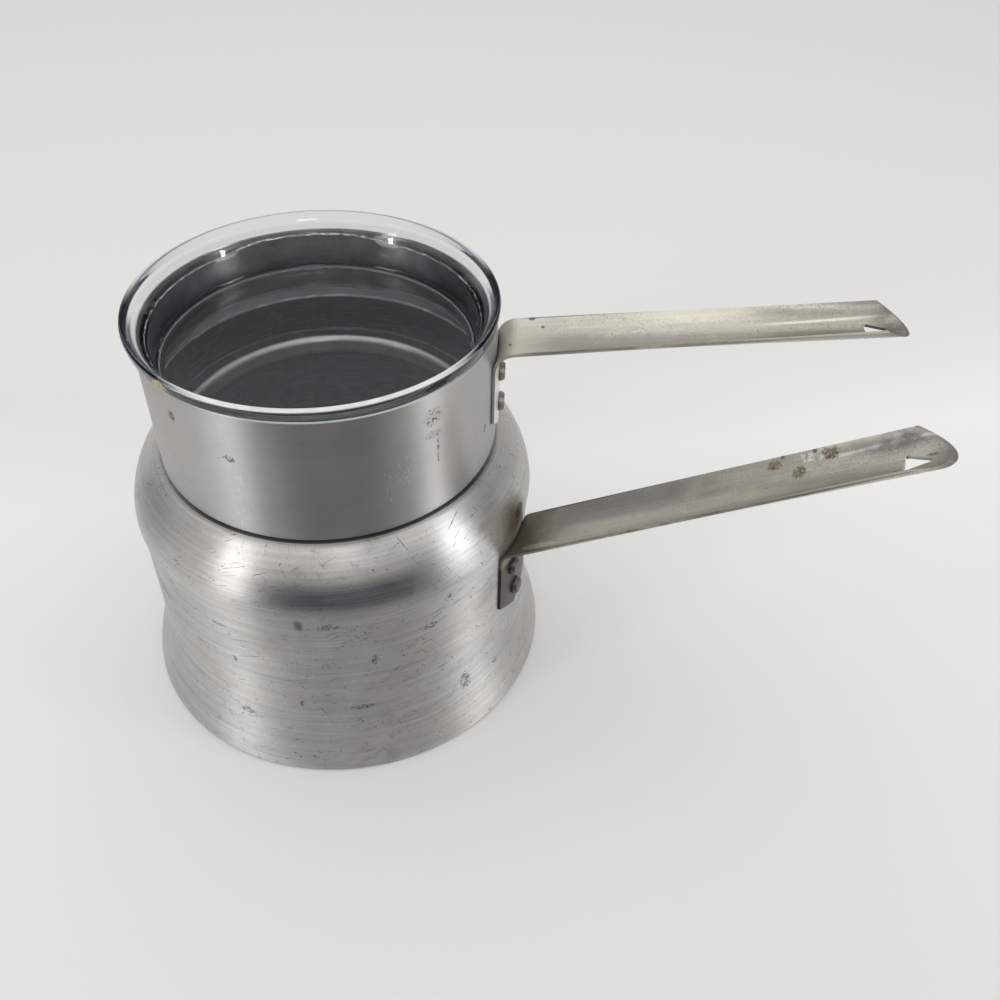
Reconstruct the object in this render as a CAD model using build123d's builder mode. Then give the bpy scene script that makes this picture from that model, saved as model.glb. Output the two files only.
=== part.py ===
from build123d import *
from math import cos, degrees, radians, sin, sqrt
import os

os.makedirs("parts", exist_ok=True)

# Sheet metal and fits, in millimetres
pot_sheet = 1.6
insert_sheet = 1.2
strap_sheet = 1.2
seat_gap = 0.15
overrun = 6.0

# Insert: a straight pan whose lower part steps in and hangs through the neck of the lower pot
insert_lower_radius = 68.7
insert_lower_depth = 52.0
insert_floor_corner_radius = 9.0
ledge_width = 7.7
ledge_inner_corner_radius = 1.6
ledge_outer_corner_radius = 2.2
insert_upper_height = 61.5

# Lower pot, from the foot upwards: a flare, a straight waist, a round shoulder and a flat seat
flare_height = 49.0
flare_reach = 9.1
foot_corner_radius = 1.8
waist_height = 40.3
shoulder_height = 13.2
shoulder_swell = 1.2
neck_height = 27.6
neck_reach = 14.3
neck_margin = 2.9
neck_corner_radius = 2.0
neck_clearance = 0.3
flare_reach_share = 0.41
flare_height_share = 0.45
brow_reach_share = 0.71
brow_height_share = 0.55
foot_lean_share = 0.13
neck_lean_share = 0.75

# Glass lid: a shallow well hung by a flared rim, lying a little off centre
lid_offset = -1.2
lid_rise = 7.9
lid_overhang = 2.2
lid_side_draft = 0.6
lid_lip_thickness = 3.4
lid_shelf_height = 3.2
lid_play = 2.9
lid_wall_thickness = 3.2
lid_wall_draft = 2.0
lid_well_depth = 16.9
lid_floor_thickness = 4.0
lid_floor_corner_radius = 3.0
lid_base_corner_radius = 4.5
lid_throat_radius = 2.9
lid_shoulder_radius = 0.8
lid_lip_share = 0.45

# Handles: a riveted flange, a bend and a strap that is pressed into a trough towards its end
flange_point_length = 9.0
trough_growth_share = 0.68
section_count = 7
hole_corner_radius = 1.0

# Upper handle
upper_azimuth_angle = -14.4
upper_rise_angle = 7.4
upper_bend_drop = 16.9
upper_bend_radius = 7.8
upper_point_rise = 8.5
upper_strap_width = 28.2
upper_strap_length = 170.3
upper_end_slant = 12.2
upper_trough_angle = 67.0
upper_hole_setback = 5.6
upper_hole_length = 10.5
upper_hole_width = 8.2
upper_rivet_drop_shares = (0.22, 0.68)
upper_rivet_shift_shares = (-0.014, 0)

# Lower handle
lower_azimuth_angle = -32.5
lower_rise_angle = 34.3
lower_bend_radius = 5.0
lower_strap_width = 31.0
lower_strap_length = 195.0
lower_end_slant = 13.5
lower_trough_angle = 58.0
lower_hole_setback = 4.9
lower_hole_length = 11.6
lower_hole_width = 9.6
lower_rivet_drop_shares = (0.29, 0.70)
lower_rivet_shift_shares = (-0.11, 0)

# Rivets
rivet_shank_radius = 2.4
rivet_head_radius = 4.4
rivet_head_height = 2.3
rivet_crown_height = 0.8
rivet_crown_width = 1.5
rivet_tail_radius = 4.0
rivet_tail_height = 1.4
rivet_clearance = 0.06

# Radii that follow from the sizes above, from the insert outwards
insert_radius = insert_lower_radius + ledge_width
neck_opening_radius = insert_lower_radius + ledge_inner_corner_radius + neck_clearance
neck_radius = insert_radius + neck_margin
shoulder_radius = neck_radius + neck_reach
waist_radius = shoulder_radius - shoulder_swell
foot_radius = waist_radius + flare_reach
upper_root_radius = insert_radius + seat_gap
lower_root_radius = waist_radius + seat_gap

# Heights that follow from the sizes above, from the table upwards
waist_top = flare_height + waist_height
shoulder_top = waist_top + shoulder_height
seat_level = shoulder_top + neck_height
rim_level = seat_level + insert_upper_height
upper_bend_level = rim_level - upper_bend_drop
upper_point_level = seat_level + upper_point_rise


def outward(azimuth):
    """Unit vector that points away from the pot's axis at an azimuth in degrees."""
    return Vector(cos(radians(azimuth)), sin(radians(azimuth)), 0)


def across(azimuth):
    """Unit vector across a handle that leaves the pot at an azimuth in degrees."""
    return Vector(-sin(radians(azimuth)), cos(radians(azimuth)), 0)


def radial_plane(azimuth, radius, height):
    """Plane that faces away from the axis, with its origin at a radius and a height."""
    origin = outward(azimuth) * radius + Vector(0, 0, height)
    return Plane(origin=origin, x_dir=across(azimuth), z_dir=outward(azimuth))


def rivet_places(azimuth, root_radius, bend_level, point_level, width, drop_shares, shift_shares):
    """Azimuth and height of each rivet of a handle, from the top of its flange downwards."""
    return [
        (
            azimuth + degrees(width * shift_share / root_radius),
            bend_level - (bend_level - point_level) * drop_share,
        )
        for drop_share, shift_share in zip(drop_shares, shift_shares)
    ]


def band_section(plane, width, half_angle):
    """Section of a strap of one developed width, bent to half_angle each way (radians).

    The plane's origin is the middle of the hollow face, and the plane's y points into the hollow.
    """
    hollow_radius = width / 2 / half_angle
    sweep = degrees(half_angle)
    with BuildSketch(plane) as section:
        with BuildLine():
            hollow = CenterArc((0, hollow_radius), hollow_radius, -90 - sweep, 2 * sweep)
            back = CenterArc((0, hollow_radius), hollow_radius + strap_sheet, -90 - sweep, 2 * sweep)
            Line(hollow @ 0, back @ 0)
            Line(hollow @ 1, back @ 1)
        make_face()
    return section.sketch


def make_handle(azimuth, rise, root_radius, bend_level, point_level, bend_radius, width,
                strap_length, end_slant, trough_angle, hole_setback, hole_length, hole_width, rivets):
    """Flange, bend and troughed strap in one piece of sheet, with its hang hole and rivet holes."""
    side = across(azimuth)
    away = outward(azimuth)
    strap_direction = away * cos(radians(rise)) + Vector(0, 0, sin(radians(rise)))
    strap_up = strap_direction.cross(side)

    # The flange has the wall's own curve, and the bend turns it out along the strap
    turn = 90 - rise
    spine_radius = bend_radius + strap_sheet
    tangent_length = spine_radius * sin(radians(turn)) / (1 + cos(radians(turn)))
    bend_start = away * root_radius + Vector(0, 0, bend_level)
    bend_axis = Axis(bend_start + away * spine_radius, side)
    root_angle = width / 2 / root_radius
    flange_plane = Plane(origin=bend_start, x_dir=side, z_dir=(0, 0, 1))
    flange_section = band_section(flange_plane, width, root_angle)

    # The strap's two edges run straight while its middle sinks between them
    root_depth = root_radius * (1 - cos(root_angle))
    edge_line = bend_start + Vector(0, 0, tangent_length) + strap_up * root_depth
    end_angle = radians(trough_angle)
    strap_sections = []
    for step in range(section_count):
        share = step / (section_count - 1)
        along = tangent_length + (strap_length - tangent_length) * share
        half_angle = root_angle + (end_angle - root_angle) * share ** trough_growth_share
        depth = width / 2 / half_angle * (1 - cos(half_angle))
        origin = edge_line + strap_direction * along - strap_up * depth
        section_plane = Plane(origin=origin, x_dir=side, z_dir=strap_direction)
        strap_sections.append(band_section(section_plane, width, half_angle))
    end_depth = width / 2 / end_angle * (1 - cos(end_angle)) + strap_sheet
    edge_length = strap_length - end_slant
    hole_start = edge_length - hole_setback

    with BuildPart() as handle:
        extrude(flange_section, amount=point_level - bend_level)
        revolve(flange_section, axis=bend_axis, revolution_arc=turn)
        loft(strap_sections)

        # The flange ends in a blunt point
        with BuildSketch(Plane(origin=away * root_radius, x_dir=side, z_dir=away)):
            for hand in (-1, 1):
                with BuildLine():
                    Polyline(
                        (0, point_level),
                        (hand * width / 2, point_level + flange_point_length),
                        (hand * (width / 2 + overrun), point_level + flange_point_length),
                        (hand * (width / 2 + overrun), point_level - overrun),
                        (0, point_level - overrun),
                        close=True,
                    )
                make_face()
        extrude(amount=overrun, both=True, mode=Mode.SUBTRACT)

        # The strap's end is cut on a slant, so its middle reaches furthest
        with BuildSketch(Plane(origin=edge_line, x_dir=strap_direction, z_dir=-side)):
            with BuildLine():
                Polyline(
                    (edge_length, overrun),
                    (edge_length, 0),
                    (strap_length, -end_depth),
                    (strap_length, -end_depth - overrun),
                    (strap_length + overrun, -end_depth - overrun),
                    (strap_length + overrun, overrun),
                    close=True,
                )
            make_face()
        extrude(amount=width, both=True, mode=Mode.SUBTRACT)

        # Hang hole, blunt towards the pot and pointed towards the end
        with BuildSketch(Plane(origin=edge_line, x_dir=strap_direction, z_dir=strap_up)) as hole:
            with BuildLine():
                Polyline(
                    (hole_start, -hole_width / 2),
                    (hole_start, hole_width / 2),
                    (hole_start + hole_length, 0),
                    close=True,
                )
            make_face()
            fillet(hole.vertices(), radius=hole_corner_radius)
        extrude(amount=-(end_depth + overrun), mode=Mode.SUBTRACT)

        for rivet_azimuth, rivet_level in rivets:
            with BuildSketch(radial_plane(rivet_azimuth, root_radius, rivet_level)):
                Circle(rivet_shank_radius + rivet_clearance)
            extrude(amount=overrun, both=True, mode=Mode.SUBTRACT)
    return handle


def make_rivet(azimuth, height, flange_radius, wall_inner_radius):
    """One rivet, with a crowned head on the flange and a flattened tail inside the pot."""
    head_radius = flange_radius + rivet_clearance
    tail_radius = sqrt(wall_inner_radius ** 2 - rivet_tail_radius ** 2) - rivet_clearance
    head_plane = radial_plane(azimuth, head_radius, height)
    tail_plane = radial_plane(azimuth, tail_radius, height)
    with BuildPart() as rivet:
        with BuildSketch(tail_plane):
            Circle(rivet_shank_radius)
        extrude(amount=head_radius - tail_radius)
        with BuildSketch(head_plane):
            Circle(rivet_head_radius)
        extrude(amount=rivet_head_height)
        head_top = rivet.faces().sort_by(Axis(head_plane.origin, head_plane.z_dir))[-1]
        chamfer(head_top.edges(), length=rivet_crown_height, length2=rivet_crown_width, reference=head_top)
        with BuildSketch(tail_plane):
            Circle(rivet_tail_radius)
        extrude(amount=-rivet_tail_height)
    return rivet


def finish(piece, name):
    """Label a piece and write it."""
    piece.part.label = name
    export_step(piece.part, f"parts/{name}.step")


upper_rivets = rivet_places(
    upper_azimuth_angle, upper_root_radius, upper_bend_level, upper_point_level,
    upper_strap_width, upper_rivet_drop_shares, upper_rivet_shift_shares,
)
lower_rivets = rivet_places(
    lower_azimuth_angle, lower_root_radius, waist_top, flare_height,
    lower_strap_width, lower_rivet_drop_shares, lower_rivet_shift_shares,
)

# Lower pot
flare = (waist_radius + flare_reach * flare_reach_share, flare_height * flare_height_share)
brow = (neck_radius + neck_reach * brow_reach_share, shoulder_top + neck_height * brow_height_share)
with BuildPart() as lower_pot:
    with BuildSketch(Plane.XZ):
        with BuildLine():
            Line((0, 0), (foot_radius, 0))
            Spline(
                (foot_radius, 0), flare, (waist_radius, flare_height),
                tangents=((-foot_lean_share, 1), (0, 1)),
            )
            Line((waist_radius, flare_height), (waist_radius, waist_top))
            Spline(
                (waist_radius, waist_top), (shoulder_radius, shoulder_top), brow,
                (neck_radius, seat_level),
                tangents=((0, 1), (-1, neck_lean_share)),
            )
            Line((neck_radius, seat_level), (0, seat_level))
            Line((0, seat_level), (0, 0))
        make_face()
    revolve(axis=Axis.Z)
    foot_edge = lower_pot.faces().sort_by(Axis.Z)[0].edges()
    fillet(foot_edge, radius=foot_corner_radius)
    neck_edge = lower_pot.faces().sort_by(Axis.Z)[-1].edges()
    fillet(neck_edge, radius=neck_corner_radius)
    offset(amount=-pot_sheet, mode=Mode.SUBTRACT)
    with BuildSketch(Plane.XY.offset(seat_level)):
        Circle(neck_opening_radius)
    extrude(amount=overrun, both=True, mode=Mode.SUBTRACT)
    for azimuth, height in lower_rivets:
        with BuildSketch(radial_plane(azimuth, waist_radius, height)):
            Circle(rivet_shank_radius + rivet_clearance)
        extrude(amount=overrun, both=True, mode=Mode.SUBTRACT)
finish(lower_pot, "lower_pot")

# Insert
insert_base = seat_level - insert_lower_depth
with BuildPart() as insert_pot:
    with BuildSketch(Plane.XZ):
        with BuildLine():
            FilletPolyline(
                (0, insert_base),
                (insert_lower_radius, insert_base),
                (insert_lower_radius, seat_level),
                (insert_radius, seat_level),
                (insert_radius, rim_level),
                radius=(
                    insert_floor_corner_radius,
                    ledge_inner_corner_radius,
                    ledge_outer_corner_radius,
                ),
            )
            offset(amount=insert_sheet, side=Side.LEFT)
        make_face()
    revolve(axis=Axis.Z)
    for azimuth, height in upper_rivets:
        with BuildSketch(radial_plane(azimuth, insert_radius, height)):
            Circle(rivet_shank_radius + rivet_clearance)
        extrude(amount=overrun, both=True, mode=Mode.SUBTRACT)
finish(insert_pot, "insert_pot")

# Glass lid
lid_outer_radius = insert_radius + lid_overhang
lid_seat_radius = lid_outer_radius - lid_side_draft
lid_plug_radius = insert_radius - insert_sheet - lid_play
lid_throat_edge = lid_plug_radius - lid_wall_thickness
lid_well_edge = lid_throat_edge - lid_wall_draft
lid_top_level = rim_level + lid_rise
lid_shelf_level = rim_level + lid_shelf_height
lid_floor_level = rim_level - lid_well_depth
lid_base_level = lid_floor_level - lid_floor_thickness
lid_lip_radius = lid_lip_thickness * lid_lip_share
with BuildPart() as glass_lid:
    with BuildSketch(Plane(origin=(lid_offset, 0, 0), x_dir=(1, 0, 0), z_dir=(0, -1, 0))):
        with BuildLine():
            FilletPolyline(
                (0, lid_base_level),
                (lid_plug_radius - lid_wall_draft, lid_base_level),
                (lid_plug_radius, rim_level),
                (lid_seat_radius, rim_level),
                (lid_outer_radius, lid_top_level),
                (lid_outer_radius - lid_lip_thickness, lid_top_level),
                (lid_seat_radius - lid_lip_thickness, lid_shelf_level),
                (lid_throat_edge, lid_shelf_level),
                (lid_well_edge, lid_floor_level),
                (0, lid_floor_level),
                radius=(
                    lid_base_corner_radius,
                    lid_shoulder_radius,
                    lid_shoulder_radius,
                    lid_lip_radius,
                    lid_lip_radius,
                    lid_throat_radius,
                    lid_throat_radius,
                    lid_floor_corner_radius,
                ),
            )
            Line((0, lid_floor_level), (0, lid_base_level))
        make_face()
    revolve(axis=Axis((lid_offset, 0, 0), (0, 0, 1)))
finish(glass_lid, "glass_lid")

# Handles and their rivets
upper_handle = make_handle(
    upper_azimuth_angle, upper_rise_angle, upper_root_radius, upper_bend_level,
    upper_point_level, upper_bend_radius, upper_strap_width, upper_strap_length, upper_end_slant,
    upper_trough_angle, upper_hole_setback, upper_hole_length, upper_hole_width, upper_rivets,
)
finish(upper_handle, "upper_handle")
lower_handle = make_handle(
    lower_azimuth_angle, lower_rise_angle, lower_root_radius, waist_top,
    flare_height, lower_bend_radius, lower_strap_width, lower_strap_length, lower_end_slant,
    lower_trough_angle, lower_hole_setback, lower_hole_length, lower_hole_width, lower_rivets,
)
finish(lower_handle, "lower_handle")

for number, (azimuth, height) in enumerate(upper_rivets, start=1):
    upper_rivet = make_rivet(
        azimuth, height, upper_root_radius + strap_sheet, insert_radius - insert_sheet
    )
    finish(upper_rivet, f"upper_handle_rivet_{number}")
for number, (azimuth, height) in enumerate(lower_rivets, start=1):
    lower_rivet = make_rivet(
        azimuth, height, lower_root_radius + strap_sheet, waist_radius - pot_sheet
    )
    finish(lower_rivet, f"lower_handle_rivet_{number}")
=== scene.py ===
"""Double boiler: finishes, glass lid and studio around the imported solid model."""

from math import cos, pi, radians, sin

import bpy
from bpy.props import FloatProperty, FloatVectorProperty, IntProperty, PointerProperty
from mathutils import Matrix, Vector


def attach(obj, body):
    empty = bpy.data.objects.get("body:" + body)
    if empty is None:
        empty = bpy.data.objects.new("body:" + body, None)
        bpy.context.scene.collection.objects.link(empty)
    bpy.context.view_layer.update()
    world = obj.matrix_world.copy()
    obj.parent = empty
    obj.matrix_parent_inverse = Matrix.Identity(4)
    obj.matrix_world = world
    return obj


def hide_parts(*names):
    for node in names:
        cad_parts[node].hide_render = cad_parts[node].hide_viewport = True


bl_info = {
    "name": "Double Boiler",
    "version": (1, 0, 0),
    "blender": (4, 5, 0),
    "location": "View3D > Sidebar > Double Boiler",
    "description": "Dresses a double boiler in worn aluminium, strap steel and clear glass",
    "category": "Object",
}

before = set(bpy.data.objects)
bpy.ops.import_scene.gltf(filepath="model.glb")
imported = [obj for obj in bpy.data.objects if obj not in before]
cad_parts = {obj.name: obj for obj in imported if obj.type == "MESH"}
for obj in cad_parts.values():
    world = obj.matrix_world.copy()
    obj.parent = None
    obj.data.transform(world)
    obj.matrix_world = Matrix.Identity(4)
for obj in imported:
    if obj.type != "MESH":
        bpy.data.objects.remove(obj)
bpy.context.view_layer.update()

MM = 0.001

# Where the handles point, in degrees from +X
UPPER_HANDLE_AZIMUTH = -14.4
LOWER_HANDLE_AZIMUTH = -32.5

# Height of the neck's seat, and the radius at which lengths round the pots are measured, in mm
SEAT_LEVEL = 130.1
ROUND_RADIUS = 85.0

# The camera's place in metres, its turns in degrees, and its lens and sensor in mm
CAMERA_PLACE = (0.0, -0.3728, 0.4224)
CAMERA_TURN = -12.33
CAMERA_DIP = 42.66
CAMERA_ROLL = 1.86
CAMERA_LENS = 36.04
CAMERA_SENSOR = 36.0

# In the lid's mesh, points this near are one, in mm, and bends past this angle stay sharp, in degrees
MERGE_DISTANCE = 0.002
SHARP_ANGLE = 40.0

# Width of the floor, and the height that the lamps look at, in metres
FLOOR_WIDTH = 8.0
LOOK_LEVEL = 0.1

# Colours that more than one mark has
SPECK_COLOR = (0.07, 0.065, 0.06)
# Painted shadow in the gaps where the pots meet
GAP_SHADOW_COLOR = (0.03, 0.028, 0.025)
CLOT_COLOR = (0.05, 0.045, 0.04)
# Painted highlight lines along the straps
HIGHLIGHT_LINE_COLOR = (0.90, 0.89, 0.86)

# The lid's outline in mm, as radius and height over the insert's rim: from the middle of its
# underside out round the lip and back to the middle of its well. A straight stretch has the
# point where it ends. A curve has its two handles, its end and its number of steps.
LID_OUTLINE = (
    ((0.0, -20.9),),
    ((66.3, -20.9),),
    ((69.4, -20.7), (70.6, -17.2), (70.9, -14.0), 10),
    ((72.2, -2.4),),
    ((72.4, -1.0), (73.2, -0.2), (74.2, 0.25), 8),
    ((76.7, 1.55),),
    ((77.6, 2.0), (78.1, 2.5), (78.15, 3.4), 8),
    ((78.3, 4.4), (78.6, 5.2), (78.6, 6.4), 5),
    ((78.6, 8.1), (77.5, 8.2), (76.6, 7.6), 10),
    ((74.2, 4.1),),
    ((70.6, -2.3),),
    ((69.9, -3.5), (69.6, -4.2), (69.5, -5.2), 8),
    ((68.5, -13.4),),
    ((68.1, -15.6), (67.0, -16.9), (65.2, -16.9), 9),
    ((0.0, -16.9),),
)


def color_property(name, description, default):
    return FloatVectorProperty(
        name=name, description=description, default=default,
        subtype="COLOR", size=3, min=0.0, max=1.0,
    )


def length_property(name, description, default):
    return FloatProperty(
        name=name, description=description, default=default,
        subtype="DISTANCE", unit="LENGTH", min=0.0,
    )


def share_property(name, description, default):
    return FloatProperty(
        name=name, description=description, default=default,
        subtype="FACTOR", unit="NONE", min=0.0, max=1.0,
    )


class LidSettings(bpy.types.PropertyGroup):
    """Sizes and tint of the glass lid"""

    rim_level: length_property("Rim Level", "Height of the insert's rim, which carries the lid", 0.1916)
    centre: FloatProperty(
        name="Centre", description="Where the lid's axis lies along X, inside its play in the insert",
        default=-0.0012, subtype="DISTANCE", unit="LENGTH",
    )
    segments: IntProperty(name="Segments", description="Steps round the lid", default=256, min=32)
    tint: color_property("Tint", "Colour that light takes on in thick glass", (0.12, 0.42, 0.70))
    density: FloatProperty(
        name="Density", description="How fast thick glass darkens, per metre",
        default=18.0, subtype="NONE", unit="NONE", min=0.0,
    )


class FinishSettings(bpy.types.PropertyGroup):
    """Colours and roughness of the metal parts"""

    insert_color: color_property("Insert", "Satin aluminium of the insert", (0.56, 0.558, 0.55))
    # Brightness of the insert's inside, under its painted shade
    inside_share: share_property("Inside", "Brightness of the insert's dull inside", 0.5)
    lower_color: color_property("Lower Pot", "Worn aluminium of the lower pot", (0.62, 0.616, 0.60))
    stain_color: color_property("Stain", "Heat stain on the lower pot", (0.16, 0.125, 0.08))
    upper_strap_color: color_property("Upper Strap", "Plated steel of the upper handle", (0.52, 0.495, 0.44))
    lower_strap_color: color_property("Lower Strap", "Plated steel of the lower handle", (0.53, 0.505, 0.45))
    rivet_color: color_property("Rivets", "Dull rivet heads", (0.30, 0.285, 0.26))
    insert_roughness: share_property("Insert Roughness", "Roughness of the insert", 0.45)
    lower_roughness: share_property("Lower Roughness", "Roughness of the lower pot", 0.45)
    strap_roughness: share_property("Strap Roughness", "Roughness of the straps", 0.34)


class StageSettings(bpy.types.PropertyGroup):
    """Lights and floor"""

    side_power: FloatProperty(
        name="Side Power", description="Power of each side lamp",
        default=2.8, subtype="POWER", unit="POWER", min=0.0,
    )
    top_power: FloatProperty(
        name="Top Power", description="Power of the lamp overhead",
        default=2.4, subtype="POWER", unit="POWER", min=0.0,
    )
    ceiling_power: FloatProperty(
        name="Ceiling Power", description="Power of the small lamp behind the camera",
        default=0.65, subtype="POWER", unit="POWER", min=0.0,
    )
    floor_share: share_property("Floor", "Brightness of the paper floor", 0.86)


class Value:
    """A number at a shader socket. Arithmetic with it adds Math nodes."""

    def __init__(self, finish, socket):
        self.finish = finish
        self.socket = socket

    def path(self, output):
        """Another output of the same node."""
        return Value(self.finish, self.socket.node.outputs[output])

    def math(self, operation, *terms):
        return self.finish.node("ShaderNodeMath", {"operation": operation}, dict(enumerate(terms)))

    def __add__(self, other):
        return self.math("ADD", self, other)

    __radd__ = __add__

    def __sub__(self, other):
        return self.math("SUBTRACT", self, other)

    def __rsub__(self, other):
        return self.math("SUBTRACT", other, self)

    def __mul__(self, other):
        return self.math("MULTIPLY", self, other)

    __rmul__ = __mul__

    def __truediv__(self, other):
        return self.math("DIVIDE", self, other)

    def __rtruediv__(self, other):
        return self.math("DIVIDE", other, self)

    def __pow__(self, other):
        return self.math("POWER", self, other)


class Nodes:
    """A node tree that is filled by expressions."""

    def __init__(self, tree):
        self.tree = tree
        tree.nodes.clear()

    def node(self, kind, settings=None, inputs=None, output=0):
        """Adds a node: its settings first, then the value or link of each socket."""
        node = self.tree.nodes.new(kind)
        for name, value in (settings or {}).items():
            if name == "stops":
                ramp = node.color_ramp
                while len(ramp.elements) > 1:
                    ramp.elements.remove(ramp.elements[-1])
                ramp.elements[0].position, ramp.elements[0].color = value[0]
                for position, color in value[1:]:
                    ramp.elements.new(position).color = color
            else:
                setattr(node, name, value)
        for name, value in (inputs or {}).items():
            if isinstance(value, Value):
                self.tree.links.new(value.socket, node.inputs[name])
            else:
                node.inputs[name].default_value = value
        return Value(self, node.outputs[output])

    def mix(self, first, second, amount):
        """Colour between two colours."""
        first, second = [c if isinstance(c, Value) else (*c[:3], 1.0) for c in (first, second)]
        return self.node("ShaderNodeMix", {"data_type": "RGBA"}, {0: amount, 6: first, 7: second}, 2)

    def blend(self, first, second, amount):
        """Number between two numbers."""
        return self.node("ShaderNodeMix", {"data_type": "FLOAT"}, {0: amount, 2: first, 3: second})

    def shade(self, color, gray):
        """Colour multiplied by a gray value."""
        if not isinstance(color, Value):
            color = color[:3]
        return self.node("ShaderNodeVectorMath", {"operation": "SCALE"}, {0: color, "Scale": gray})

    def step(self, value, low, high):
        """0 at low and 1 at high, smooth between them, whichever is the larger."""
        settings = {"interpolation_type": "SMOOTHSTEP", "clamp": True}
        inputs = {"Value": value, "From Min": min(low, high), "From Max": max(low, high)}
        inputs["To Min"], inputs["To Max"] = (1.0, 0.0) if high < low else (0.0, 1.0)
        return self.node("ShaderNodeMapRange", settings, inputs)

    def band(self, value, low, high, soft):
        """1 between low and high, with soft ends."""
        return self.step(value, low - soft, low + soft) * self.step(value, high + soft, high - soft)

    def split(self, vector):
        """The three numbers of a vector."""
        parts = self.node("ShaderNodeSeparateXYZ", None, {0: vector}).socket.node
        return [Value(self, parts.outputs[axis]) for axis in "XYZ"]

    def vector(self, x, y, z):
        return self.node("ShaderNodeCombineXYZ", None, {0: x, 1: y, 2: z})

    def noise(self, vector, scale, detail=2.0, roughness=0.5):
        inputs = {"Vector": vector, "Scale": scale, "Detail": detail, "Roughness": roughness}
        return self.node("ShaderNodeTexNoise", {"noise_dimensions": "3D"}, inputs)

    def cover(self, under, over, amount):
        """One shader over another."""
        return self.node("ShaderNodeMixShader", None, {0: amount, 1: under, 2: over})

    def end(self, kind, shader, volume=None):
        """Joins a shader to the tree's output."""
        output = self.tree.nodes.new(kind)
        self.tree.links.new(shader.socket, output.inputs["Surface"])
        if volume:
            self.tree.links.new(volume.socket, output.inputs["Volume"])


class Finish(Nodes):
    """A material of one of the object's finishes, laid out in millimetres."""

    def __init__(self, name):
        self.material = bpy.data.materials.new(name)
        self.material.use_nodes = True
        super().__init__(self.material.node_tree)

    def place(self):
        """The point on the object, in the object's own frame, in mm."""
        point = self.node("ShaderNodeTexCoord", output="Object")
        return self.node("ShaderNodeVectorMath", {"operation": "SCALE"}, {0: point, "Scale": 1.0 / MM})

    def turned(self, point, azimuth):
        """Distance out along an azimuth, sideways from it, and up."""
        x, y, z = self.split(point)
        level, rise = cos(radians(azimuth)), sin(radians(azimuth))
        return x * level + y * rise, y * level - x * rise, z

    def unrolled(self, x, y):
        """Distance round the axis from the front, and out from the axis."""
        return x.math("ARCTAN2", x, 0.0 - y) * ROUND_RADIUS, (x * x + y * y) ** 0.5

    def spot(self, point, centre, sizes, ragged=0.0, low=1.15, high=0.75):
        """1 inside an ellipsoid. Ragged breaks its edge."""
        offset = self.node("ShaderNodeVectorMath", {"operation": "SUBTRACT"}, {0: point, 1: centre})
        shares = self.node("ShaderNodeVectorMath", {"operation": "DIVIDE"}, {0: offset, 1: sizes})
        distance = self.node("ShaderNodeVectorMath", {"operation": "LENGTH"}, {0: shares}, "Value")
        if ragged:
            distance = distance + ragged * (self.noise(point, 0.9, 5.0, 0.7) - 0.5)
        return self.step(distance, low, high)

    def flecks(self, point, centre, sizes, grain, low, high):
        """1 on ragged flecks inside an ellipsoid, broken by a grain from a noise."""
        return self.step(0.45 * self.spot(point, centre, sizes, 0.0, 1.2, 0.4) + grain, low, high)

    def marked(self, color, dirt, point, places, low, high, strength):
        """A colour with ragged flecks of dirt at places, each with its centre and half sizes."""
        grain = self.noise(point, 0.75, 4.0, 0.7)
        for centre, sizes in places:
            color = self.mix(color, dirt, self.flecks(point, centre, sizes, grain, low, high) * strength)
        return color

    def scratches(self, around, up, lean, spacing, seed):
        """1 on fine broken lines that lean from the level."""
        along = around + up * lean
        across = up - around * lean
        lines = self.noise(self.vector(along * 0.07, across * spacing, seed), 1.0, 2.0)
        patches = self.noise(self.vector(around, up, seed + 3.0), 0.055, 2.0)
        return self.step(lines, 0.64, 0.71) * self.step(patches, 0.48, 0.58)

    def bumps(self, height, distance):
        """Normal of a bumpy surface, with its depth in mm."""
        inputs = {"Height": height, "Strength": 1.0, "Distance": distance * MM}
        return self.node("ShaderNodeBump", None, inputs)

    def surface(self, **sockets):
        """Principled shader. A socket's name has _ for a space."""
        inputs = {name.replace("_", " "): value for name, value in sockets.items()}
        return self.node("ShaderNodeBsdfPrincipled", None, inputs)

    def shell(self, **sockets):
        """The material, with a Principled surface alone."""
        self.end("ShaderNodeOutputMaterial", self.surface(**sockets))
        return self.material


def dress(node_name, material):
    """Gives a solid its material."""
    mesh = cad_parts[node_name].data
    mesh.materials.clear()
    mesh.materials.append(material)


def turn_profile(name, points, steps, centre_x):
    """Turns an outline of (radius, height) points in mm, from axis to axis, into a solid."""
    bpy.ops.object.select_all(action="DESELECT")
    bpy.ops.mesh.primitive_plane_add(size=MM)
    piece = bpy.context.object
    piece.name = name
    bpy.ops.object.mode_set(mode="EDIT")
    bpy.ops.mesh.merge(type="CENTER")
    here = Vector((0.0, 0.0, 0.0))
    there = Vector((centre_x + points[0][0], 0.0, points[0][1])) * MM
    bpy.ops.transform.translate(value=there - here)
    for radius, height in points[1:]:
        here, there = there, Vector((centre_x + radius, 0.0, height)) * MM
        bpy.ops.mesh.extrude_region_move(TRANSFORM_OT_translate={"value": there - here})
    bpy.ops.mesh.select_all(action="SELECT")
    bpy.ops.mesh.spin(steps=steps, angle=2 * pi, center=(centre_x * MM, 0, 0), axis=(0, 0, 1))
    bpy.ops.mesh.select_all(action="SELECT")
    bpy.ops.mesh.remove_doubles(threshold=MERGE_DISTANCE * MM)
    bpy.ops.mesh.normals_make_consistent(inside=False)
    bpy.ops.object.mode_set(mode="OBJECT")
    bpy.ops.object.shade_smooth_by_angle(angle=radians(SHARP_ANGLE))
    return piece


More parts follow.
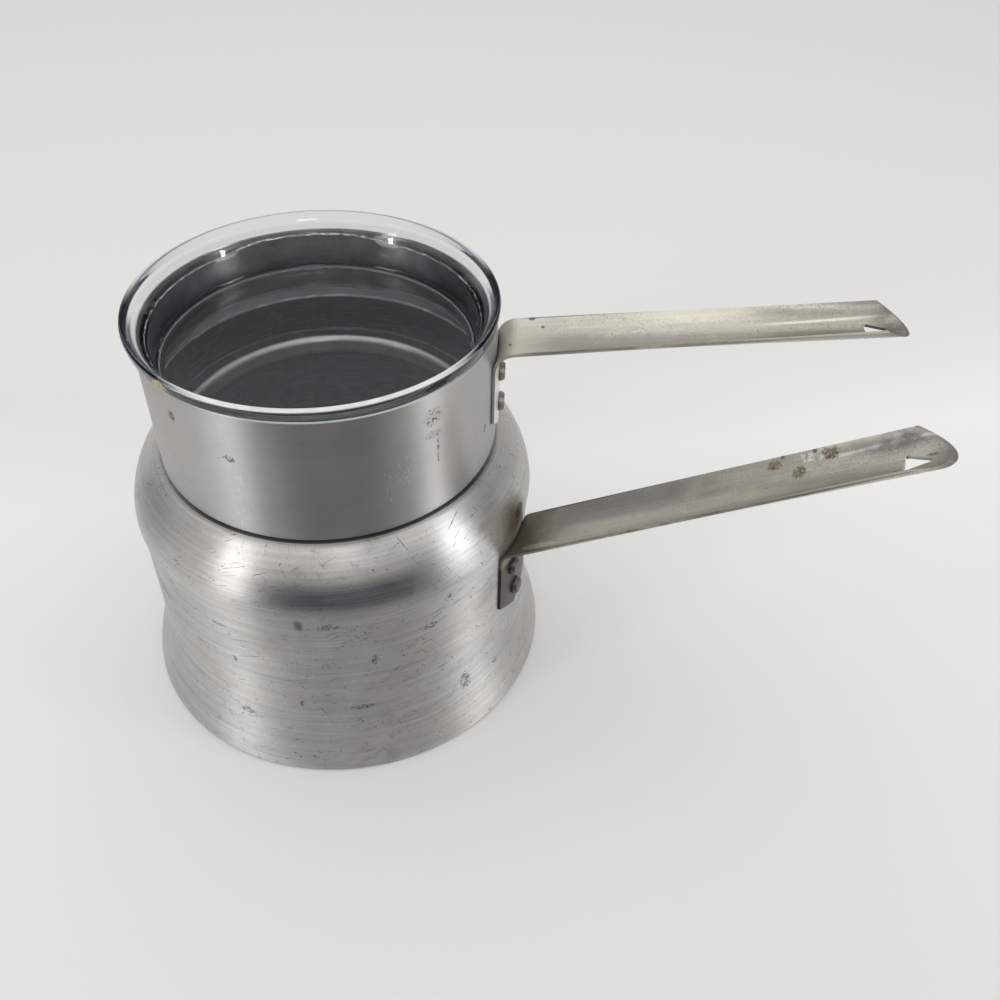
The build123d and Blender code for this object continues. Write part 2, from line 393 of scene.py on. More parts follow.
def curve(start, first_handle, second_handle, end, count):
    """Points of a cubic curve between two ends, without its start."""
    corners = (start, first_handle, second_handle, end)
    points = []
    for step in range(1, count + 1):
        t = step / count
        weights = ((1 - t) ** 3, 3 * t * (1 - t) ** 2, 3 * t * t * (1 - t), t ** 3)
        points.append(tuple(sum(w * corner[i] for w, corner in zip(weights, corners)) for i in (0, 1)))
    return points


def follow(stretches):
    """Points along an outline of straight stretches and curves."""
    points = []
    for stretch in stretches:
        if len(stretch) == 1:
            points.append(stretch[0])
        else:
            points += curve(points[-1], *stretch)
    return points


def aim(azimuth, elevation):
    """Unit vector at an azimuth from +X and an elevation, in degrees."""
    level = cos(radians(elevation))
    return Vector((
        level * cos(radians(azimuth)), level * sin(radians(azimuth)), sin(radians(elevation)),
    ))


def add_softbox(name, azimuth, elevation, distance, width, height, power):
    """One rectangular lamp that looks at the pots."""
    data = bpy.data.lights.new(name, "AREA")
    data.shape = "RECTANGLE"
    data.size = width
    data.size_y = height
    data.energy = power
    lamp = bpy.data.objects.new(name, data)
    bpy.context.scene.collection.objects.link(lamp)
    direction = aim(azimuth, elevation)
    lamp.location = direction * distance + Vector((0, 0, LOOK_LEVEL))
    lamp.rotation_euler = direction.to_track_quat("Z", "Y").to_euler()


def add_card(name, place, width, depth, opacity):
    """A dark card that only reflections see. Opacity is worked out from the point in metres."""
    bpy.ops.mesh.primitive_plane_add(size=1.0)
    card = bpy.context.object
    card.name = name
    card.data.transform(place @ Matrix.Diagonal((width, depth, 1, 1)))
    cloth = Finish(name)
    x, y, z = cloth.split(cloth.node("ShaderNodeTexCoord", output="Object"))
    dark = cloth.node("ShaderNodeEmission", None, {"Color": (0.05, 0.05, 0.055, 1.0)})
    clear = cloth.node("ShaderNodeBsdfTransparent")
    cloth.end("ShaderNodeOutputMaterial", cloth.cover(clear, dark, opacity(cloth, x, y, z)))
    card.data.materials.append(cloth.material)
    card.visible_camera = False
    card.visible_diffuse = False
    card.visible_transmission = False
    card.visible_shadow = False


def front_share(nodes, x, y, low, high):
    """1 towards the camera and 0 to the sides, for a point or a direction."""
    return nodes.step((0.0 - y) / (x * x + y * y + 0.0001) ** 0.5, low, high)


def add_room():
    """World light: bright overhead, dim level with the table and dark behind the camera."""
    world = bpy.data.worlds.new("room")
    bpy.context.scene.world = world
    world.use_nodes = True
    room = Nodes(world.node_tree)
    x, y, z = room.split(room.node("ShaderNodeTexCoord", output="Generated"))
    low_back = front_share(room, x, 0.0 - y, 0.5, 0.9) * room.step(z, 0.6, 0.3)
    side = 0.36 + 0.62 * room.step(z, 0.45, 0.8) + 0.36 * low_back
    near = 0.07 + 0.91 * room.step(z, 0.12, 0.55)
    level = room.blend(side, near, front_share(room, x, y, 0.42, 0.77))

    # The room as seen through the glass, in sharp reflections and by the camera
    seen = room.node("ShaderNodeLightPath", output="Is Camera Ray")
    passed = seen.path("Is Transmission Ray") * room.step(seen.path("Transmission Depth"), 2.8, 2.2)
    low_front = front_share(room, x, y, 0.3, 0.6) * room.step(z, 0.5, 0.2)
    behind_glass = 0.74 - 0.26 * low_front - 0.28 * room.step(z, 0.50, 0.62)
    mirrored = seen.path("Is Singular Ray") * seen.path("Is Reflection Ray")
    strength = room.blend(level, behind_glass, passed) * (1.0 - 0.72 * mirrored)
    strength = room.blend(strength, 0.72, seen)
    light = room.node("ShaderNodeBackground", None, {"Color": (1.0, 0.995, 0.98, 1.0), "Strength": strength})
    room.end("ShaderNodeOutputWorld", light)


class BOILER_OT_stage(bpy.types.Operator):
    """Add the floor, the lights and the camera"""
    bl_idname = "boiler.stage"
    bl_label = "Add Stage"

    def execute(self, context):
        scene = context.scene
        scene.view_settings.view_transform = "Standard"
        self.floor(scene.boiler_stage)
        self.cards()
        self.camera(scene)
        self.lamps(scene.boiler_stage)
        add_room()
        return {"FINISHED"}

    def floor(self, settings):
        """Pale paper, with painted light brightest in a band behind the pots."""
        bpy.ops.mesh.primitive_plane_add(size=FLOOR_WIDTH, location=(0, 0, 0))
        floor = bpy.context.object
        floor.name = "floor"
        paper = Finish("floor_paper")
        y = paper.split(paper.node("ShaderNodeTexCoord", output="Object"))[1]
        depth = paper.node("ShaderNodeMapRange", None, {"Value": y, "From Min": -0.25, "From Max": 0.35})
        # Painted light: the paper brightest in a band behind the pots
        shares = ((0.0, 0.86), (0.35, 0.91), (0.6, 1.0), (0.8, 0.91))
        stops = [(place, (share, share, share * 0.99, 1.0)) for place, share in shares]
        tone = paper.node("ShaderNodeValToRGB", {"stops": stops}, {0: depth})
        color = paper.shade(tone, settings.floor_share)
        floor.data.materials.append(paper.shell(Base_Color=color, Roughness=0.7))

    def cards(self):
        """A card that stands before the pots, and one that lies on the floor there."""
        middle = 0.02

        def standing(cloth, x, y, z):
            return cloth.step((x - middle) * (x - middle), 0.085, 0.02) * cloth.step(z, 0.19, 0.15)

        def lying(cloth, x, y, z):
            return front_share(cloth, x, y, 0.42, 0.8) * (0.26 + 0.70 * cloth.step(y, -0.17, -0.25))

        upright = Matrix.Translation((middle, -0.235, 0.11)) @ Matrix.Rotation(pi / 2, 4, "X")
        add_card("front_card", upright, 0.62, 0.2, standing)
        add_card("floor_card", Matrix.Translation((0.0, -0.36, 0.0015)), 0.9, 0.52, lying)

    def camera(self, scene):
        """The camera, turned, tilted down and rolled."""
        data = bpy.data.cameras.new("camera")
        data.sensor_width = CAMERA_SENSOR
        data.lens = CAMERA_LENS
        camera = bpy.data.objects.new("camera", data)
        scene.collection.objects.link(camera)
        turn = Matrix.Rotation(radians(CAMERA_TURN), 4, "Z")
        tilt = Matrix.Rotation(radians(90.0 - CAMERA_DIP), 4, "X")
        roll = Matrix.Rotation(radians(CAMERA_ROLL), 4, "Z")
        camera.matrix_world = Matrix.Translation(CAMERA_PLACE) @ turn @ tilt @ roll
        scene.camera = camera

    def lamps(self, settings):
        """Softboxes and sparks at the sides, a small lamp behind the camera and a wide one overhead."""
        side = settings.side_power
        spark = 0.12 * side
        lamps = (
            ("left_softbox", -148.0, 16.0, 1.3, 0.32, 0.8, side),
            ("right_softbox", -31.0, 11.0, 1.3, 0.34, 0.8, 1.2 * side),
            ("left_spark", -152.0, 30.0, 1.3, 0.07, 0.07, spark),
            ("right_spark", -28.0, 30.0, 1.3, 0.07, 0.07, spark),
            ("ceiling_lamp", -92.0, 47.0, 1.4, 0.26, 0.16, settings.ceiling_power),
            ("top_softbox", 100.0, 78.0, 1.5, 1.4, 1.4, settings.top_power),
        )
        for name, azimuth, elevation, distance, width, height, power in lamps:
            add_softbox(name, azimuth, elevation, distance, width, height, power)


class BOILER_OT_lid(bpy.types.Operator):
    """Turn the pressed glass lid from its outline"""
    bl_idname = "boiler.lid"
    bl_label = "Make Lid"

    def execute(self, context):
        settings = context.scene.boiler_lid
        rim = settings.rim_level / MM
        outline = [(radius, rim + height) for radius, height in follow(LID_OUTLINE)]
        lid = turn_profile("lid_glass", outline, settings.segments, settings.centre / MM)
        lid.data.materials.append(self.glass(settings, rim))
        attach(lid, "lid")
        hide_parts("glass_lid")
        return {"FINISHED"}

    def glass(self, settings, rim):
        """Clear glass with a painted dark edge, painted light on the lip at the front and back, painted
        highlights at the bends, and a trace of residue.
        """
        finish = Finish("clear_glass")
        point = finish.place()
        x, y, up = finish.split(point)
        x = x - settings.centre / MM
        out = (x * x + y * y) ** 0.5
        back = y / out
        facing = finish.node("ShaderNodeLayerWeight", output="Facing")

        # Painted shade: the dark edge at the sides, and a dark line at the bend of the well
        outside = finish.step(up, rim + 0.4, rim + 1.2) * finish.step(out, 76.0, 77.0)
        side = outside * finish.step(up, rim + 7.9, rim + 7.2) * finish.step(facing, 0.30, 0.52)
        side = side * finish.step(back, 0.38, 0.08)
        ends = outside * finish.step(x * x / (out * out), 0.42, 0.66) * finish.step(back, 0.12, -0.08)
        color = finish.mix((1.0, 1.0, 1.0), (0.004, 0.007, 0.016), side.math("MAXIMUM", side, ends) * 0.97)
        bend = finish.band(up, rim - 15.4, rim - 14.7, 0.15) * finish.step(out, 69.2, 68.9)
        color = finish.mix(color, (0.10, 0.12, 0.17), bend * 0.8)

        # Painted highlights: pale lines at the bends, where the lamps catch them
        dashes = finish.noise(finish.vector(x * 0.35, y * 0.35, up * 3.0), 1.0, 3.0, 0.6)
        dashes = finish.step(dashes, 0.42, 0.66)
        glint = finish.step(back, 0.82, 0.98)
        pale = finish.band(up - 1.5 * glint, rim - 3.1, rim - 2.4, 0.25) * (0.7 + 0.6 * glint) * dashes
        pale = pale + finish.band(up, rim - 16.5, rim - 16.0, 0.15) * (0.08 + 0.12 * dashes)
        pale = pale + finish.band(up, rim - 19.8, rim - 18.8, 0.4) * (0.10 + 0.5 * dashes)
        pale = pale * finish.step(out, 72.0, 71.4)

        # Painted light on the lip at the front and in its outline at the back, with the painted highlights of
        # the bends, and residue at one place
        streaks = finish.noise(finish.vector(x * 0.2, y * 0.2, up * 2.5), 1.0, 3.0)
        front = finish.step(up, rim + 6.6, rim + 7.3) * front_share(finish, x, y, 0.6, 0.85)
        behind = outside * finish.step(facing, 0.15, 0.45) * finish.step(back, 0.05, 0.40)
        painted_lip_light = front * (0.60 + 0.7 * streaks) * 0.85 + behind * 0.7 + pale
        grain = finish.noise(point, 0.8, 4.0, 0.7)
        residue = finish.flecks(point, (-61.5, -49.5, rim + 4.0), (6.5, 6.5, 5.5), grain, 0.84, 0.92)

        clear = finish.surface(Base_Color=color, Roughness=0.0, IOR=1.5, Transmission_Weight=1.0)
        painted_light_surface = finish.surface(Base_Color=(0.90, 0.91, 0.92, 1.0), Roughness=0.4)
        stained = finish.surface(Base_Color=(0.50, 0.46, 0.28, 1.0), Roughness=0.6)
        surface = finish.cover(finish.cover(clear, painted_light_surface, painted_lip_light), stained, residue * 0.8)
        inputs = {"Color": (*settings.tint, 1.0), "Density": settings.density}
        volume = finish.node("ShaderNodeVolumeAbsorption", None, inputs)
        finish.end("ShaderNodeOutputMaterial", surface, volume)
        return finish.material


class BOILER_OT_insert(bpy.types.Operator):
    """Give the insert its satin finish, marks, painted shade inside and painted highlights"""
    bl_idname = "boiler.insert"
    bl_label = "Finish Insert"

    def execute(self, context):
        settings = context.scene.boiler_finish
        finish = Finish("satin_aluminium")
        point = finish.place()
        x, y, up = finish.split(point)
        around, out = finish.unrolled(x, y)
        lines = finish.noise(finish.vector(x * 0.02, (up + out) * 1.3, y * 0.02), 1.0, 3.0)
        cloudy = finish.noise(point, 0.05, 3.0, 0.6)
        gray = (0.90 + 0.14 * lines) * (0.93 + 0.14 * cloudy)
        tint = finish.step(finish.noise(point, 0.022, 2.0), 0.35, 0.65)
        color = finish.mix((0.51, 0.535, 0.565), (0.60, 0.575, 0.53), tint)
        color = finish.shade(finish.mix(settings.insert_color, color, 0.4), gray)

        # The inside, with painted shade that darkens its wall towards the bottom and the narrow part under
        # the step still more; brushed and pale patches on it
        wall = finish.step(out, 75.9, 75.6) * finish.step(up, SEAT_LEVEL + 0.4, SEAT_LEVEL + 0.7)
        below = finish.step(out, 68.2, 68.0) * finish.step(up, 78.5, 78.8)
        inside = wall.math("MAXIMUM", wall, below)
        outer = 1.0 - inside
        deep = finish.step(up, 178.0, 140.0)
        mottled = 0.45 + 1.1 * finish.noise(point, 0.07, 5.0, 0.65)
        # Painted shade: darker towards the bottom of the inside
        dull = settings.inside_share * (1.9 - 1.74 * deep) * mottled
        color = finish.mix(color, finish.shade(color, dull), inside)
        brushed = finish.noise(finish.vector(around * 0.05, up * 1.4, 8.0), 1.0, 3.0)
        brushed = finish.step(brushed, 0.45, 0.7) * inside * deep
        color = finish.mix(color, (0.22, 0.23, 0.24), brushed * 0.32)
        pale = finish.step(finish.noise(point, 0.05, 4.0, 0.65), 0.52, 0.68) * inside * deep
        color = finish.mix(color, (0.30, 0.305, 0.30), pale * 0.28)
        color = finish.shade(color, 1.0 - 0.5 * below)

        # Painted reflections of the lid's glints as pale rings on the wall, and a painted highlight on the
        # ledge of the step
        dash = finish.noise(finish.vector(around * 0.12, up * 0.8, 12.0), 1.0, 3.0, 0.6)
        dash = finish.step(dash, 0.46, 0.62)
        reflection_ring = finish.band(up, 151.6, 156.6, 0.8) * 0.18
        reflection_ring = reflection_ring + finish.band(up, 149.8, 151.4, 0.3) * (0.45 + 0.55 * dash)
        reflection_ring = reflection_ring + finish.band(up, 156.4, 157.2, 0.3) * (0.12 + 0.40 * dash)
        reflection_ring = reflection_ring * inside * finish.step(out, 72.0, 74.0)
        color = finish.mix(color, (0.92, 0.92, 0.91), reflection_ring)
        # Painted highlight on the ledge of the step
        ledge = finish.band(up, SEAT_LEVEL - 6.0, SEAT_LEVEL + 2.4, 1.2) * finish.band(out, 66.4, 69.6, 0.9)
        color = finish.mix(color, (0.84, 0.81, 0.76), ledge * (0.45 + 0.7 * cloudy))

        # Rust specks and dark marks on the outside
        specks = 0.15 + 0.75 * finish.step(finish.noise(point, 0.85, 1.0, 0.5), 0.57, 0.66)
        rust = finish.spot(point, (39.4, -65.5, 181.0), (4.5, 4.5, 4.5))
        rust = rust + finish.spot(point, (39.2, -65.6, 172.4), (4.0, 4.0, 2.0))
        color = finish.mix(color, SPECK_COLOR, specks * rust * outer)
        places = (
            ((-60.7, -46.4, 179.8), (3.4, 3.4, 4.4)), ((-40.1, -65.0, 170.1), (5.0, 4.0, 2.6)),
            ((41.3, -64.3, 164.0), (0.9, 0.9, 12.0)), ((65.0, -40.1, 152.0), (2.0, 2.0, 3.6)),
            ((6.0, 75.0, 143.0), (6.0, 4.0, 2.6)),
        )
        color = finish.marked(color, SPECK_COLOR, point, places, 0.88, 0.96, 0.75)
        dots = finish.step(finish.noise(point, 0.33, 3.0, 0.6), 0.72, 0.76)
        color = finish.mix(color, (0.10, 0.09, 0.08), dots * outer * 0.7)

        # Bright rubbed places and fine scratches
        dashes = finish.step(finish.noise(finish.vector(around * 1.1, up * 0.35, 4.0), 1.0, 2.0), 0.60, 0.66)
        rubbed = finish.spot(point, (20.0, -73.8, 158.0), (2.0, 2.0, 17.0), 0.6)
        rubbed = rubbed + finish.spot(point, (27.5, -71.3, 160.0), (5.0, 5.0, 7.0), 0.6)
        rubbed = rubbed + 0.6 * finish.spot(point, (-39.0, -65.4, 152.0), (4.0, 4.0, 20.0), 0.8)
        color = finish.mix(color, (0.86, 0.86, 0.85), dashes * rubbed * outer * 0.7)
        scratch = finish.scratches(around, up, 0.5, 1.5, 7.0) + finish.scratches(around, up, -1.2, 1.3, 15.0)
        color = finish.mix(color, (0.24, 0.235, 0.22), scratch * outer * 0.35)

        # Painted shade: the front darker, as a painted reflection of the dark room, and a painted shadow in
        # the joint over the neck; a painted highlight on the rim
        color = finish.shade(color, 1.0 - 0.27 * outer * front_share(finish, x, y, 0.95, 1.0))
        # Painted shadow in the gap over the neck, strongest at the front
        gap_shadow = finish.step(up, SEAT_LEVEL + 0.75, SEAT_LEVEL + 0.3) * outer * finish.step(out, 71.5, 72.5)
        gap_shadow = gap_shadow * (0.2 + 0.8 * front_share(finish, x, y, 0.25, 0.85))
        color = finish.mix(color, GAP_SHADOW_COLOR, gap_shadow * 0.9)
        # Painted highlight along the rim
        edge = finish.step(up, 191.0, 191.5)
        color = finish.mix(color, (0.80, 0.80, 0.79), edge * 0.7)

        rough = settings.insert_roughness - 0.06 + 0.10 * lines + 0.08 * cloudy - 0.12 * edge - 0.10 * inside
        normal = finish.bumps(lines + 0.4 * cloudy, 0.02)
        dress("insert_pot", finish.shell(
            Base_Color=color, Metallic=1.0 - 0.8 * reflection_ring, Roughness=rough, Normal=normal,
            Anisotropic=0.85, Anisotropic_Rotation=0.25,
        ))
        return {"FINISHED"}


class BOILER_OT_lower_pot(bpy.types.Operator):
    """Give the lower pot its brushed, scratched and stained finish, with painted shade on the shoulder and in
    the joint under the insert
    """
    bl_idname = "boiler.lower_pot"
    bl_label = "Finish Lower Pot"

    def execute(self, context):
        settings = context.scene.boiler_finish
        finish = Finish("worn_aluminium")
        point = finish.place()
        x, y, up = finish.split(point)
        around, out = finish.unrolled(x, y)
        along = up - out
        lines = finish.noise(finish.vector(x * 0.018, along * 1.1, y * 0.018), 1.0, 4.0, 0.6)
        broad = finish.noise(finish.vector(x * 0.03, along * 0.35, y * 0.03), 1.0, 3.0, 0.6)
        cloudy = finish.noise(point, 0.045, 4.0, 0.6)
        gray = (0.74 + 0.46 * lines) * (0.80 + 0.40 * broad) * (0.82 + 0.36 * cloudy)
        tint = finish.step(finish.noise(point, 0.03, 2.0), 0.35, 0.65)
        color = finish.mix((0.56, 0.60, 0.63), (0.66, 0.625, 0.56), tint)
        color = finish.shade(finish.mix(settings.lower_color, color, 0.3), gray)

        # Grime, pits and scratches all over
        grime = finish.step(finish.noise(finish.vector(x, y, up * 1.6), 0.035, 5.0, 0.65), 0.56, 0.74)
        color = finish.mix(color, (0.34, 0.31, 0.27), grime * 0.45)
        blotch = finish.step(finish.noise(point, 0.16, 4.0, 0.6), 0.62, 0.72)
        color = finish.mix(color, (0.30, 0.29, 0.26), blotch * 0.35)

        pits = finish.step(finish.noise(point, 0.42, 4.0, 0.65), 0.655, 0.70)
        pocks = finish.step(finish.noise(point, 0.9, 3.0, 0.6), 0.66, 0.71) * finish.step(cloudy, 0.44, 0.58)
        scratch = finish.scratches(around, up, 0.35, 1.1, 2.0) + finish.scratches(around, up, -1.6, 0.9, 9.0)
        marks = (pits + pocks * 0.8 + scratch * 0.9) * 0.8
        color = finish.mix(color, (0.09, 0.085, 0.075), marks.math("MINIMUM", marks, 0.85))

        # Dark marks at their places
        places = (
            ((-57.7, -72.1, 84.3), (8.0, 5.0, 1.4)), ((-10.9, -92.3, 95.7), (8.0, 4.0, 3.4)),
            ((42.0, -82.9, 95.3), (4.0, 3.0, 3.4)), ((7.6, -92.1, 70.1), (3.0, 2.0, 5.0)),
            ((50.0, -80.3, 30.3), (5.5, 5.0, 9.0)), ((-27.5, -88.7, 41.2), (1.6, 1.6, 3.6)),
            ((-53.4, -78.5, 28.8), (7.0, 5.0, 3.4)), ((33.5, -86.1, 81.3), (7.0, 4.0, 3.0)),
            ((-54.1, -74.9, 63.3), (2.4, 2.4, 3.0)), ((-0.3, -93.2, 38.4), (9.0, 3.0, 2.4)),
            ((66.5, -68.2, 27.3), (3.4, 3.4, 3.4)), ((-76.7, -52.1, 93.3), (1.6, 1.6, 4.4)),
        )
        color = finish.marked(color, (0.12, 0.115, 0.10), point, places, 0.90, 0.97, 0.7)

        # A painted dark reflection as a band across the front of the shoulder, a darker patch on the left of
        # the shoulder, soot by the handle's root, and two stains
        ragged = 0.9
        streaky = finish.step(lines, 0.35, 0.6)
        shade_band = finish.band(around + 14.0 * (cloudy - 0.5), -30.0, 28.0, 15.0)
        shade_band = shade_band * finish.band(up, 106.6, 117.2, 3.4) * (0.7 + 0.3 * streaky)
        color = finish.mix(color, finish.shade((0.17, 0.18, 0.20), gray), shade_band * 0.95)
        dark_patch = finish.spot(point, (-79.8, -37.2, 121.0), (15.0, 26.0, 10.0), ragged, 1.3, 0.2)
        color = finish.mix(color, finish.shade((0.40, 0.405, 0.42), gray), dark_patch * 0.75)
        soot = finish.spot(point, (79.0, -51.0, 107.0), (14.0, 11.5, 14.5), ragged, 1.3, 0.2)
        color = finish.mix(color, settings.stain_color, soot * 0.85)
        clot = finish.spot(point, (80.4, -46.7, 107.2), (5.0, 5.0, 3.0), ragged)
        color = finish.mix(color, CLOT_COLOR, clot * 0.7)
        drop = finish.spot(point, (-23.1, -90.2, 96.8), (2.2, 3.6, 5.0), ragged, 1.2, 0.2)
        color = finish.mix(color, (0.12, 0.115, 0.105), drop * 0.75)

        # Bright scratches, and a painted shadow in the joint under the insert
        bright = finish.scratches(around, up, 0.9, 1.4, 21.0)
        color = finish.mix(color, (0.86, 0.86, 0.84), bright * 0.3)
        gap_shadow = finish.band(out, 75.2, 77.3, 0.4) * finish.step(up, SEAT_LEVEL - 6.0, SEAT_LEVEL - 4.0)
        gap_shadow = gap_shadow * (0.35 + 0.65 * front_share(finish, x, y, 0.25, 0.85))
        color = finish.mix(color, GAP_SHADOW_COLOR, gap_shadow * 0.85)

        shoulder = finish.band(up, 98.0, 132.0, 6.0)
        rough = settings.lower_roughness - 0.05 - 0.08 * shoulder + 0.10 * (lines + cloudy + soot)
        normal = finish.bumps(lines + 0.5 * broad + 1.2 * cloudy - 0.6 * marks, 0.035)
        dress("lower_pot", finish.shell(
            Base_Color=color, Metallic=1.0, Roughness=rough, Normal=normal,
            Anisotropic=0.85, Anisotropic_Rotation=0.25,
        ))
        return {"FINISHED"}


class BOILER_OT_handles(bpy.types.Operator):
    """Give the strap handles their plated finish, wear, residue, painted edge shade and painted highlight
    lines
    """
    bl_idname = "boiler.handles"
    bl_label = "Finish Handles"

    def execute(self, context):
        settings = context.scene.boiler_finish
        self.upper(settings)
        self.lower(settings)
        return {"FINISHED"}

    def speckled(self, finish, out, side, up, color):
        """Drawn lines along the strap, clouding and small dark specks."""
        point = finish.vector(out, side, up)
        drawn = finish.noise(finish.vector(out * 0.03, side * 0.9, up * 0.03), 1.0, 3.0)
        cloudy = finish.noise(point, 0.10, 4.0, 0.6)
        fine = finish.noise(point, 1.5, 2.0, 0.5)
        color = finish.shade(color, (0.76 + 0.42 * drawn) * (0.68 + 0.58 * cloudy) * (0.88 + 0.22 * fine))
        specks = finish.step(fine, 0.585, 0.65) * finish.step(cloudy, 0.38, 0.52)
        specks = specks + finish.step(finish.noise(point, 0.35, 3.0, 0.6), 0.71, 0.74)
        return point, finish.mix(color, (0.12, 0.105, 0.085), specks * 0.5), drawn, cloudy, specks

    def upper(self, settings):
        """The upper strap: pale root and flange, dull far end, tarnished tip, painted shade along both sides
        and a painted highlight line.
        """
        finish = Finish("upper_strap_steel")
        out, side, up = finish.turned(finish.place(), UPPER_HANDLE_AZIMUTH)
        point, color, drawn, cloudy, specks = self.speckled(finish, out, side, up, settings.upper_strap_color)
        root = finish.step(out, 104.0, 82.0) * finish.step(up, 172.0, 180.0)
        color = finish.mix(color, (0.76, 0.73, 0.65), root * 0.5)
        flange = finish.step(up, 176.0, 172.0)
        color = finish.mix(color, (0.80, 0.78, 0.74), flange * 0.85)
        worn = finish.spot(point, (157.0, 11.5, 194.0), (36.0, 4.6, 8.0), 1.6, 1.3, 0.2)
        color = finish.mix(color, (0.86, 0.83, 0.70), worn * 0.5)
        far = finish.step(out, 175.0, 205.0)
        color = finish.mix(color, finish.shade(color, 0.70), far * 0.8)
        tip = finish.step(out, 226.0, 242.0) * finish.step(cloudy, 0.3, 0.6)
        color = finish.mix(color, finish.shade((0.13, 0.126, 0.12), 0.4 + 1.2 * cloudy), tip * 0.85)
        # Painted highlight line along the strap's trough
        highlight_line = finish.band(side - (out - 199.0) * 0.034, 5.3, 6.3, 0.35) * finish.band(out, 190.0, 232.0, 9.0)
        color = finish.mix(color, HIGHLIGHT_LINE_COLOR, highlight_line * 0.5)
        # Painted shade along both sides of the strap
        edge_shade = finish.band(side, -13.9, -12.6, 0.35) + finish.band(side, 13.2, 14.6, 0.3)
        edge_shade = edge_shade * finish.step(out, 84.0, 92.0) * (0.35 + 0.9 * cloudy)
        color = finish.mix(color, (0.14, 0.125, 0.105), edge_shade)
        places = (
            ((90.6, 13.0, 185.5), (1.4, 0.9, 2.0)), ((95.5, 8.1, 184.9), (0.8, 0.8, 1.0)),
            ((81.9, -4.3, 183.1), (0.8, 0.9, 1.0)),
        )
        for centre, sizes in places:
            color = finish.mix(color, (0.07, 0.06, 0.05), finish.spot(point, centre, sizes, 0.5) * 0.85)
        normal = finish.bumps(drawn + 1.5 * cloudy - specks, 0.03)
        rough = settings.strap_roughness - 0.08 + 0.2 * cloudy - 0.08 * far
        metal = 0.9 - 0.4 * root
        dress("upper_handle", finish.shell(Base_Color=color, Metallic=metal, Roughness=rough, Normal=normal))

    def lower(self, settings):
        """The lower strap: dark flange, brown root, bluish stretch, residue, tarnished tip, painted shade
        along both sides and a painted highlight line.
        """
        finish = Finish("lower_strap_steel")
        out, side, up = finish.turned(finish.place(), LOWER_HANDLE_AZIMUTH)
        point, color, drawn, cloudy, specks = self.speckled(finish, out, side, up, settings.lower_strap_color)
        flange = finish.step(up, 88.0, 84.0)
        color = finish.mix(color, (0.055, 0.047, 0.038), flange * 0.92)
        ragged = finish.noise(point, 0.12, 4.0, 0.6)
        brown = finish.step(out + 14.0 * (ragged - 0.5), 118.0, 98.0) * (1.0 - flange)
        color = finish.mix(color, (0.20, 0.175, 0.125), brown * 0.75)
        blue = finish.band(out + 6.0 * (ragged - 0.5), 112.0, 166.0, 3.0) * finish.step(side, 0.0, 5.0)
        color = finish.mix(color, (0.27, 0.285, 0.29), blue * 0.5)
        worn = finish.spot(point, (110.0, -10.5, 100.0), (10.0, 3.0, 10.0), 1.0)
        color = finish.mix(color, (0.80, 0.78, 0.72), worn * 0.6)
        # Painted highlight line along the strap's trough
        highlight_line = finish.band(side - (out - 223.0) * 0.02, 9.6, 10.6, 0.4) * finish.band(out, 219.0, 262.0, 3.0)
        color = finish.mix(color, HIGHLIGHT_LINE_COLOR, highlight_line * 0.7)

        # Residue near the far end, each patch with its centre, half sizes and tone
        patches = (
            ((211.0, 11.8, 172.6), (9.0, 3.0, 7.0), (0.66, 0.63, 0.56)),
            ((197.0, 11.4, 163.4), (5.0, 3.0, 4.5), (0.24, 0.18, 0.13)),
            ((207.2, 6.8, 166.6), (4.2, 4.4, 5.0), (0.15, 0.135, 0.06)),
            ((216.8, 11.4, 176.4), (6.0, 3.6, 5.0), (0.14, 0.105, 0.065)),
            ((199.6, 13.6, 166.8), (1.6, 1.2, 1.8), CLOT_COLOR),
            ((210.5, 13.1, 173.9), (1.5, 1.2, 1.8), CLOT_COLOR),
            ((250.0, 2.9, 193.0), (3.2, 0.8, 3.2), (0.06, 0.05, 0.045)),
        )
        grain = finish.noise(point, 0.8, 5.0, 0.75)
        clotted = finish.noise(point, 0.45, 3.0, 0.6)
        for centre, sizes, tone in patches:
            tone = finish.shade(tone, 3.8 * clotted - 0.9)
            color = finish.mix(color, tone, finish.flecks(point, centre, sizes, grain, 0.82, 0.96) * 0.85)
        dark_patch = finish.spot(point, (238.0, 11.0, 189.0), (22.0, 5.5, 15.0), 1.2, 1.2, 0.2)
        dark_patch = (dark_patch + finish.step(out, 246.0, 258.0)) * finish.step(cloudy, 0.25, 0.52)
        color = finish.mix(color, finish.shade((0.16, 0.155, 0.148), 2.0 * grain), dark_patch * 0.85)
        # Painted shade along both sides of the strap
        edge_shade = finish.band(side, -15.4, -14.0, 0.35) + finish.band(side, 14.5, 16.0, 0.3)
        edge_shade = edge_shade * finish.step(out, 98.0, 106.0) * (0.35 + 0.9 * cloudy)
        color = finish.mix(color, (0.12, 0.105, 0.09), edge_shade)
        normal = finish.bumps(drawn + 1.5 * cloudy - specks, 0.03)
        rough = settings.strap_roughness - 0.06 + 0.16 * cloudy + 0.1 * brown
        dress("lower_handle", finish.shell(Base_Color=color, Metallic=0.9, Roughness=rough, Normal=normal))


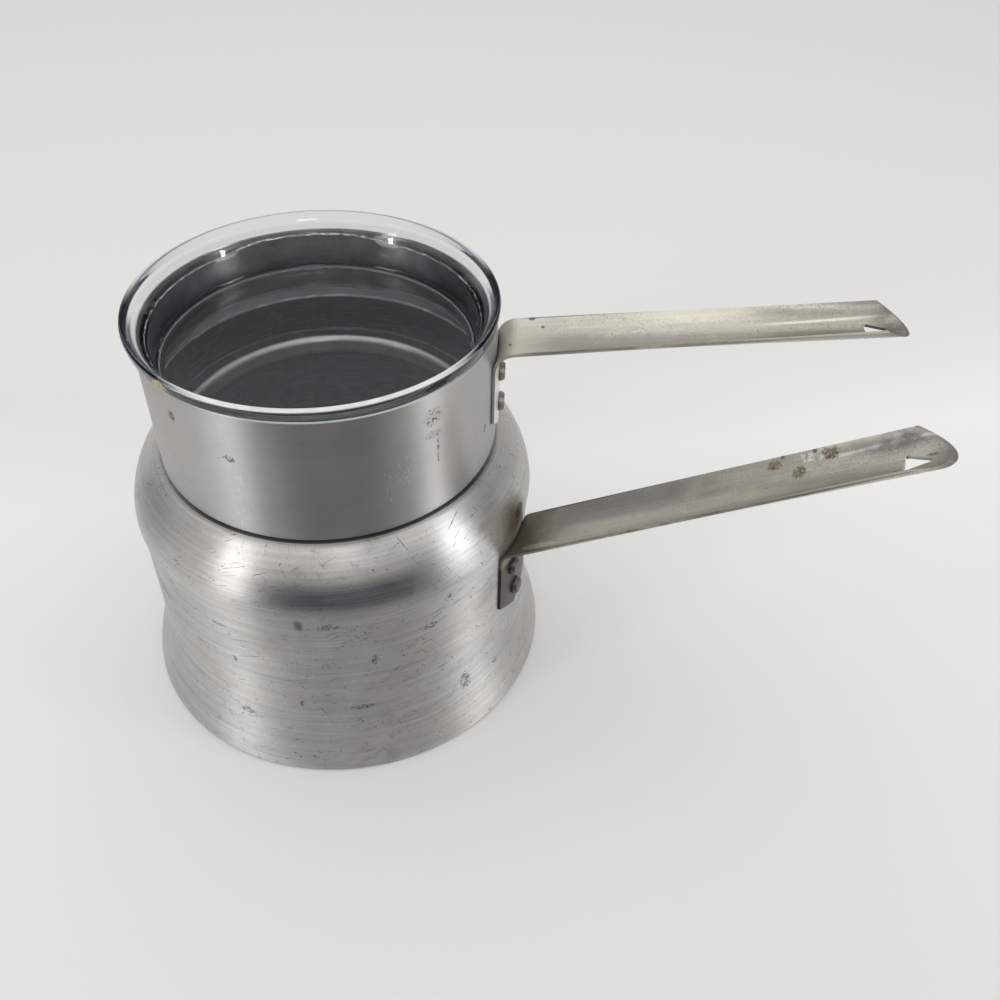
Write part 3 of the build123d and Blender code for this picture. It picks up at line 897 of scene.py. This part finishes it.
class BOILER_OT_rivets(bpy.types.Operator):
    """Give the rivets their dull finish"""
    bl_idname = "boiler.rivets"
    bl_label = "Finish Rivets"

    def execute(self, context):
        settings = context.scene.boiler_finish
        finish = Finish("rivet_aluminium")
        point = finish.place()
        cloudy = finish.noise(point, 0.7, 4.0, 0.6)
        low = finish.step(finish.split(point)[2], 100.0, 90.0)
        color = finish.shade(settings.rivet_color, (0.6 + 0.8 * cloudy) * (1.0 - 0.5 * low))
        normal = finish.bumps(cloudy, 0.1)
        material = finish.shell(Base_Color=color, Metallic=0.9, Roughness=0.3 + 0.3 * cloudy, Normal=normal)
        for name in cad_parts:
            if "rivet" in name:
                dress(name, material)
        return {"FINISHED"}


class BOILER_PT_panel(bpy.types.Panel):
    """Steps that make the double boiler"""
    bl_idname = "BOILER_PT_panel"
    bl_label = "Double Boiler"
    bl_space_type = "VIEW_3D"
    bl_region_type = "UI"
    bl_category = "Double Boiler"

    def draw(self, context):
        for settings in (context.scene.boiler_stage, context.scene.boiler_lid, context.scene.boiler_finish):
            box = self.layout.box()
            for name in settings.__annotations__:
                box.prop(settings, name)
        for operator in OPERATORS:
            self.layout.operator(operator.bl_idname)


OPERATORS = (
    BOILER_OT_stage, BOILER_OT_lid, BOILER_OT_insert,
    BOILER_OT_lower_pot, BOILER_OT_handles, BOILER_OT_rivets,
)
CLASSES = (LidSettings, FinishSettings, StageSettings, *OPERATORS, BOILER_PT_panel)


def register():
    for cls in CLASSES:
        bpy.utils.register_class(cls)
    bpy.types.Scene.boiler_lid = PointerProperty(type=LidSettings)
    bpy.types.Scene.boiler_finish = PointerProperty(type=FinishSettings)
    bpy.types.Scene.boiler_stage = PointerProperty(type=StageSettings)


def unregister():
    del bpy.types.Scene.boiler_stage
    del bpy.types.Scene.boiler_finish
    del bpy.types.Scene.boiler_lid
    for cls in reversed(CLASSES):
        bpy.utils.unregister_class(cls)


def main():
    register()
    bpy.ops.boiler.stage()
    bpy.ops.boiler.lid()
    bpy.ops.boiler.insert()
    bpy.ops.boiler.lower_pot()
    bpy.ops.boiler.handles()
    bpy.ops.boiler.rivets()


if __name__ == "__main__":
    main()
